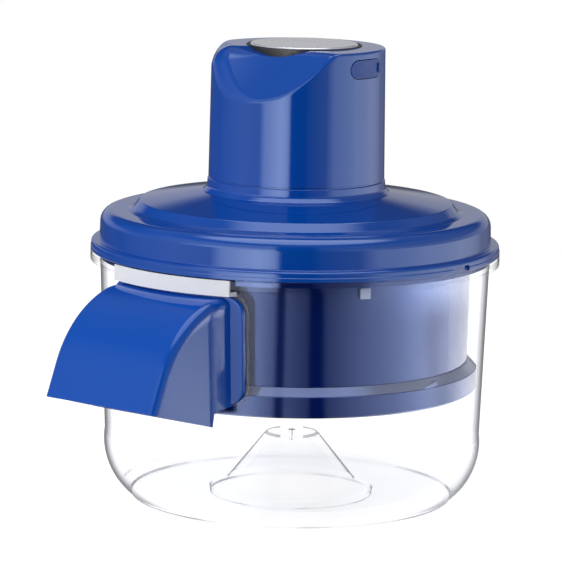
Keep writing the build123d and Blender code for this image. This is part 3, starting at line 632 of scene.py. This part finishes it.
def motor_housing():
    azimuths = np.concatenate([np.arange(-96, 40, 0.8), np.arange(40, 264, 2.0)])
    base = math.atan2(HOUSING_Z[0] - SKIN_CENTRE_Z, HOUSING_R[0])
    fine = math.atan2(4.0, HOUSING_R[1])
    heights = np.concatenate([np.linspace(base, fine, 14), np.linspace(fine, math.radians(47.5), 90)[1:]])
    outer = housing_skin(azimuths, heights, 0.0)
    rim = hole_row(azimuths, HOUSING_Z[1])
    rim[:, 2] = np.minimum(rim[:, 2], outer[-1][:, 2] + 0.02)
    inner = housing_skin(azimuths, heights[::6][::-1], SKIN_THICK)
    low_rim = hole_row(azimuths, HOUSING_Z[1] - SKIN_THICK)
    low_rim[:, 2] = np.minimum(low_rim[:, 2], rim[:, 2] - 0.5)
    outer[0][:, 2] = HOUSING_Z[0]
    inner[-1][:, 2] = HOUSING_Z[0]
    rows = np.concatenate([outer, rim[None], low_rim[None], inner])
    mesh = grid_mesh("motor_housing_skin", rows, True, True)
    fix_normals(mesh)
    recess = prism_cutter(PORT_AZ, 17.6, (PORT_Z - 3.55, PORT_Z + 3.55), 3.5, (30.1, 36))
    slot = prism_cutter(PORT_AZ, 10.4, (PORT_Z - 2.3, PORT_Z + 2.3), 2.2, (24, 36))
    mesh = combine(mesh, [recess, slot])
    return add_object("motor_housing_skin", mesh, BLUE, "lid", ["motor_housing"], 30)


motor_housing()


# ---- bowl ------------------------------------------------------------------------------------
WALL_LOW = (69.2, 24.0)
WALL_HIGH = (71.4, 86.8)
DUCT_WIDTH = 43.0
DUCT_Z = (51.6, 81.2)
PIN_BORE_R = 1.02
CONE_TOP_Z = (19.6, 23.0)
FLOOR_Z = (2.5, 4.7)
FOOT_R = 59.1
BOWL_NODES = ["bowl_wall", "bowl_shoulder", "bowl_floor", "bowl_cone", "bowl_cone_cap"]


def wall_r(z):
    (r0, z0), (r1, z1) = WALL_LOW, WALL_HIGH
    return r0 + (r1 - r0) * (z - z0) / (z1 - z0)


def bowl():
    low, high = FLOOR_Z
    outline = [(PIN_BORE_R, CONE_TOP_Z[0], 0), (7.9, CONE_TOP_Z[0], 1.0), (21.6, low, 1.2),
               (28.0, low, 0.5), (28.0, 0, 0.5), (30.0, 0, 0.5), (30.0, low, 0.5),
               (56.5, low, 0.6), (56.5, 0, 0.5), (FOOT_R, 0, 0.7)]
    points = rounded_outline(outline + [(63.0, 3.6, 0)])[:-1]
    points += circle_arc((FOOT_R, 0.6), (65.0, 6.5), WALL_LOW, 26)
    upper = [WALL_LOW, (71.4, 86.8, 0.6), (75.0, 87.2, 0.5), (75.0, 91.0, 0.6), (72.2, 91.0, 0.4),
             (72.2, 88.4, 0.3), (69.66, 88.4, 0.3), (67.4, 24.0, 0), (62.0, 9.0, 0)]
    points += rounded_outline([(65.0, 6.5, 0)] + upper)[2:-1]
    points += circle_arc((67.4, 24.0), (62.4, 9.4), (53.0, high), 26)
    points += rounded_outline([(53.0, high, 0), (24.0, high, 2.4), (10.3, 21.9, 1.3),
                               (9.2, CONE_TOP_Z[1], 0.8), (PIN_BORE_R, CONE_TOP_Z[1], 0),
                               (PIN_BORE_R, 10.0, 0)])[1:-1]
    mesh = lathe("bowl_clear", points, 288)
    opening = prism_cutter(CHUTE_AZ, DUCT_WIDTH + 3.8, (DUCT_Z[0] - 2, DUCT_Z[1] + 2), 5.0, (60, 90))
    return add_object("bowl_clear", combine(mesh, [opening]), CLEAR, "base", BOWL_NODES, 34)


bowl()


# ---- lid -------------------------------------------------------------------------------------
def lid_shell():
    profile = [
        (69.6, 91.1, 0.1), (75.0, 91.1, 0.2), (75.0, 92.45, 0.25), (74.75, 92.65, 0.1),
        (74.75, 94.7, 1.3), (71.72, 94.7, 0.45), (71.45, 105.7, 4.4), (61.4, 105.55, 1.1),
        (59.5, 106.4, 0.3), (57.2, 109.2, 0.7), (34.2, 112.9, 1.5),
        (32.62, 114.6, 1.4), (32.5, 117.6, 0.3), (31.9, 117.6, 0), (31.9, 118.1, 0), (29.8, 118.1, 0),
        (29.8, 110.6, 0.5), (56.0, 107.0, 0.5), (57.0, 103.4, 0.5), (66.0, 103.4, 1.0), (69.4, 101.4, 0.5),
    ]
    mesh = lathe("lid_top", rounded_outline(profile), 320)
    notch = prism_cutter(PORT_AZ, 10.0, (89.0, 93.2), 0.4, (73.7, 80))
    return add_object("lid_top", combine(mesh, [notch]), BLUE, "lid", ["lid_shell"], 34)


lid_shell()


# ---- chute -----------------------------------------------------------------------------------
CHUTE_WIDTH = 50.6
CHUTE_EDGE_R = 4.6
HOOD_BAND = 6.5
FLANGE_WIDTH = 59.0
FLANGE_Z = (46.2, 84.9)
FLANGE_OUT = (0.9, 2.3)


def chute_point(u, v, z):
    """A point at a distance out along the chute, across it and up."""
    return direction(CHUTE_AZ) * u + direction(CHUTE_AZ + 90) * v + Vector((0, 0, z))


def extruded(outline, half_width):
    sides = (-half_width, half_width)
    return closed_mesh("panel", [[chute_point(u, v, z) for u, z in outline] for v in sides])


def hood_path():
    """The curve of the hood's top, with its outward directions."""
    points = [(58.0, 84.87), (64.0, 84.65), (70.0, 84.43), (74.5, 84.26)]
    points += circle_arc((76.0, 84.2), (93.9, 75.4), (105.2, 59.6), 30)
    slope = (109.8 - 105.2) / (48.9 - 59.6)
    points += [(105.2 + slope * (z - 59.6), z) for z in (57.0, 54.0, 51.0, 48.0, 44.0, 40.0)]
    path = np.array(points)
    along = np.gradient(path, axis=0)
    along /= np.linalg.norm(along, axis=1)[:, None]
    return path, np.stack([-along[:, 1], along[:, 0]], 1)


def hood():
    path, outward = hood_path()
    half = CHUTE_WIDTH / 2
    section = rounded_outline([(-half, -HOOD_BAND, 0), (half, -HOOD_BAND, 0),
                               (half, 0, CHUTE_EDGE_R), (-half, 0, CHUTE_EDGE_R)])
    rings = []
    for (u, z), (nu, nz) in zip(path, outward):
        rings.append([chute_point(u + nu * d, v, z + nz * d) for v, d in section])
    mouth = [(77.6, 39.8), (140.0, 57.43), (140.0, 20.0), (60.0, 20.0), (60.0, 39.8)]
    return combine(closed_mesh("hood", rings), [extruded(mouth, 40)])


def around_wall(outset, width, z, radius):
    """A rounded rectangle that follows the bowl's wall at an outset."""
    middle = (z[0] + z[1]) / 2
    points = []
    for v, y in framed(width, z[1] - z[0], radius):
        height = middle + y
        reach = wall_r(height) + outset
        points.append(chute_point(math.sqrt(reach * reach - v * v), v, height))
    return points


def ringed(name, rings):
    mesh = grid_mesh(name, np.array([[tuple(p) for p in ring] for ring in rings]), True, True)
    fix_normals(mesh)
    return mesh


def chute_flange():
    low, high = FLANGE_OUT
    shrunk = [(0.0, low), (0.0, high - 0.35), (0.12, high - 0.1), (0.35, high), (1.2, high)]
    rings = [around_wall(out, FLANGE_WIDTH - 2 * s, (FLANGE_Z[0] + s, FLANGE_Z[1] - s), 6.0 - s)
             for s, out in shrunk]
    rings += [around_wall(out, DUCT_WIDTH, DUCT_Z, 3.5) for out in (high, low)]
    return ringed("flange", rings)


def chute_spigot():
    outer = (DUCT_WIDTH + 2.8, (DUCT_Z[0] - 1.5, DUCT_Z[1] + 1.5), 4.5)
    inner = (DUCT_WIDTH, DUCT_Z, 3.5)
    rings = [around_wall(out, *outer) for out in (-1.4, 2.2)]
    rings += [around_wall(out, *inner) for out in (2.2, -1.4)]
    return ringed("spigot", rings)


def wall_solid(outset):
    """The space inside the bowl's wall, out to an outset from it."""
    rings = []
    for z in (15.0, 110.0):
        reach = wall_r(z) + outset
        turn = [2 * math.pi * i / 256 for i in range(256)]
        rings.append([(reach * math.cos(t), reach * math.sin(t), z) for t in turn])
    return closed_mesh("wall", rings)


def chute():
    path, outward = hood_path()
    under = [tuple(p) for p in (path - outward * (HOOD_BAND - 0.4))[:-3]]
    panel = extruded(under + [(103.9, 47.35), (77.6, 39.8), (76.8, 44.3), (74.7, 45.3), (60.0, 46.2)],
                     CHUTE_WIDTH / 2)
    cavity = [(66.0, 82.2), (75.8, 82.4)] + circle_arc((75.8, 82.4), (92.6, 74.14), (103.6, 58.9), 20)
    cavity += [(108.0, 48.9), (108.6, 38.0), (79.6, 30.0), (78.7, 45.4), (75.4, 47.2), (66.0, 49.2)]
    body = combine(hood(), [panel], "UNION")
    body = combine(body, [extruded(cavity, CHUTE_WIDTH / 2 - 1.8), wall_solid(FLANGE_OUT[0])])
    body = combine(body, [chute_flange(), chute_spigot()], "UNION")
    return add_object("chute_hood", body, LIT_CHUTE_BLUE, "chute", ["chute"], 28)


chute()


# ---- studio ----------------------------------------------------------------------------------
def area_light(name, place, target, size, power):
    data = bpy.data.lights.new(name, "AREA")
    data.shape = "RECTANGLE"
    data.size, data.size_y = size
    data.energy = power
    lamp = bpy.data.objects.new(name, data)
    bpy.context.scene.collection.objects.link(lamp)
    lamp.location = place
    aim = Vector(target) - Vector(place)
    lamp.rotation_euler = aim.to_track_quat("-Z", "Y").to_euler()


def let_light_through(layers):
    """Lets a ray cross all the clear walls in its way instead of stopping dark part of the way."""
    bpy.context.scene.cycles.transparent_max_bounces = layers


# Brightness of the table mirrored far from the object and near it, as (azimuth, level) pairs.
FLOOR_FAR = [(-180, 0.8), (-100, 1.8), (-60, 1.8), (-33, 2.6), (-24, 3.2), (-18, 2.3), (-11, 1.2),
             (-9, 0.1), (-6, 0.1), (-4, 0.9), (2, 0.5), (8, 0.35), (9, 0.01), (16, 0.01), (18, 0.45),
             (26, 0.7), (39, 1.6), (60, 3.0), (71, 4.6), (86, 6.5), (104, 6.0), (118, 4.6), (130, 3.0),
             (151, 1.5), (180, 0.8)]
FLOOR_NEAR = [(-180, 0.8), (-100, 1.8), (-60, 1.8), (-24, 3.0), (-11, 1.2), (-9, 0.1), (-6, 0.1),
              (-4, 0.9), (8, 0.35), (9, 0.01), (16, 0.01), (18, 0.45), (39, 1.45), (60, 2.4), (78, 3.6),
              (86, 3.3), (92, 2.6), (98, 2.5), (104, 2.8), (118, 3.0), (130, 2.2), (151, 1.2), (180, 0.8)]
FLOOR_R = 0.53
FLOOR_GLOW = 0.9
FLOOR_FILL = 0.13
NEAR_TO_FAR_R = (0.41, 0.47)


def make_floor():
    """A white table that glossy walls mirror as long soft lights, brightest to the right."""
    bm = bmesh.new()
    bm.faces.new([bm.verts.new(direction(a) * FLOOR_R) for a in range(-180, 180)])
    mesh = bpy.data.meshes.new("floor")
    bm.to_mesh(mesh)
    bm.free()
    if mesh.polygons[0].normal.z < 0:
        mesh.flip_normals()
    floor = bpy.data.objects.new("floor", mesh)
    bpy.context.scene.collection.objects.link(floor)
    floor.location.z = -0.0002
    s = Shader("white_floor", IOR=1.4)
    s.bsdf.inputs["Emission Color"].default_value = (1, 1, 1, 1)
    s.colour(s.ramp(s.noise(2.0, 3.0), (0.3, (0.34, 0.34, 0.34)), (0.7, (0.36, 0.36, 0.36))))
    s.rough(s.spread(s.noise(20.0, 3.0), 0.85, 0.95))
    s.bsdf.inputs["Emission Strength"].default_value = FLOOR_GLOW
    path = s.node("ShaderNodeLightPath").outputs
    x, y, _, reach = s.place()
    share = s.azimuth_share(x, y)
    rise = s.node("ShaderNodeMapRange", Value=reach)
    rise.inputs["From Min"].default_value, rise.inputs["From Max"].default_value = NEAR_TO_FAR_R
    near, far = s.around(share, FLOOR_NEAR), s.around(share, FLOOR_FAR)
    glossy = s.node("ShaderNodeEmission", Color=s.mixed(rise.outputs[0], near, far))
    fill = s.node("ShaderNodeEmission", Strength=FLOOR_FILL)
    surface = s.bsdf
    for ray, light in (("Is Diffuse Ray", fill), ("Is Glossy Ray", glossy)):
        pick = s.node("ShaderNodeMixShader", Fac=path[ray])
        s.put(pick.inputs[1], surface.outputs[0])
        s.put(pick.inputs[2], light.outputs[0])
        surface = pick
    s.put(s.tree.nodes["Material Output"].inputs["Surface"], surface.outputs[0])
    mesh.materials.append(s.material)


# Brightness of the mirrored room as (azimuth, level) pairs: below the horizon, just over it, higher.
ROOM_BELOW = [(-180, 0.1), (-150, 0.08), (-122, 0.16), (-95, 0.55), (-75, 0.9), (-50, 0.9), (-43, 3.2),
              (-30, 4.6), (-21, 5.5), (-14, 4.6), (-10.5, 3.2), (-8, 0.03), (10, 0.02), (15, 0.2),
              (38, 0.6), (50, 2.2), (84, 2.9), (112, 2.2), (140, 0.5), (165, 0.1), (180, 0.1)]
ROOM_LOW = [(-180, 0.5), (-140, 0.5), (-110, 0.45), (-75, 0.9), (-46, 3.4), (-13, 3.6), (-10, 0.03),
            (10, 0.02), (15, 0.3), (45, 1.4), (100, 1.0), (140, 0.55), (180, 0.5)]
ROOM_UPPER = [(-180, 0.05), (-140, 0.07), (-110, 0.25), (-80, 0.9), (-50, 1.5), (-14, 1.8), (-10, 0.05),
              (12, 0.04), (16, 0.5), (45, 0.8), (90, 0.7), (130, 0.3), (160, 0.06), (180, 0.05)]
ROOM_HIGH = (0.35, 0.35, 0.35, 1)
CEILING = (3.6, 3.6, 3.6, 1)
# Broad soft lights for matt shading, as azimuth, elevation and strength, and the level elsewhere.
SOFT_LIGHTS = ((-62, 28, 1.75), (75, 8, 0.62))
SOFT_REST = 0.11


def make_world():
    """White to look at and soft for shading, with tall soft boxes for the glossy walls to mirror."""
    world = bpy.data.worlds.new("studio")
    bpy.context.scene.world = world
    world.use_nodes = True
    w = Nodes(world.node_tree)
    ray = w.node("ShaderNodeTexCoord").outputs["Generated"]
    x, y, z = w.node("ShaderNodeSeparateXYZ", Vector=ray).outputs

    def above(low, high):
        """0 below one elevation and 1 above another, in degrees."""
        made = w.node("ShaderNodeMapRange", Value=z)
        made.interpolation_type = "SMOOTHSTEP"
        made.inputs["From Min"].default_value = math.sin(math.radians(low))
        made.inputs["From Max"].default_value = math.sin(math.radians(high))
        return made.outputs["Result"]

    def lobe(azimuth, elevation, strength):
        """A broad soft light centred on a direction."""
        lift = math.radians(elevation)
        centre = direction(azimuth) * math.cos(lift) + Vector((0, 0, math.sin(lift)))
        share = w.math("POWER", w.math("MAXIMUM", w.dot(ray, centre), 0.0), 2.0)
        return w.math("MULTIPLY", share, strength)

    share = w.azimuth_share(x, y)
    shiny, low, upper = (w.around(share, room) for room in (ROOM_BELOW, ROOM_LOW, ROOM_UPPER))
    for limits, level in (((-2, 4), low), ((12, 19), upper), ((34, 48), ROOM_HIGH), ((56, 68), CEILING)):
        shiny = w.mixed(above(*limits), shiny, level)
    left, right = (lobe(*light) for light in SOFT_LIGHTS)
    soft = w.math("ADD", w.math("ADD", left, right), SOFT_REST)
    path = w.node("ShaderNodeLightPath").outputs
    straight = w.math("MAXIMUM", path["Is Camera Ray"], path["Is Transmission Ray"])
    seen = w.mixed(path["Is Glossy Ray"], soft, shiny)
    seen = w.mixed(straight, seen, (1, 1, 1, 1))
    w.put(w.tree.nodes["Background"].inputs["Color"], seen)


def make_camera():
    """The lens and place that put the rim, the column and the foot where they are seen."""
    distance, elevation, roll = 1.3, math.radians(9.65), math.radians(1.0)
    target = Vector((-0.0049, 0, 0.0765))
    data = bpy.data.cameras.new("camera")
    data.sensor_fit = "VERTICAL"
    data.sensor_height = 36.0
    data.lens = 220.8
    data.clip_end = 50
    camera = bpy.data.objects.new("camera", data)
    bpy.context.scene.collection.objects.link(camera)
    back = Vector((0, -math.cos(elevation), math.sin(elevation)))
    camera.location = target + back * distance
    turn = back.to_track_quat("Z", "Y").to_matrix() @ Matrix.Rotation(roll, 3, "Z")
    camera.rotation_euler = turn.to_euler()
    bpy.context.scene.camera = camera


let_light_through(48)
make_floor()
make_world()
make_camera()
area_light("top", (0, 0.2, 1.5), (0, 0, 0.1), (1.2, 1.2), 0.7)
bpy.context.scene.view_settings.view_transform = "Standard"
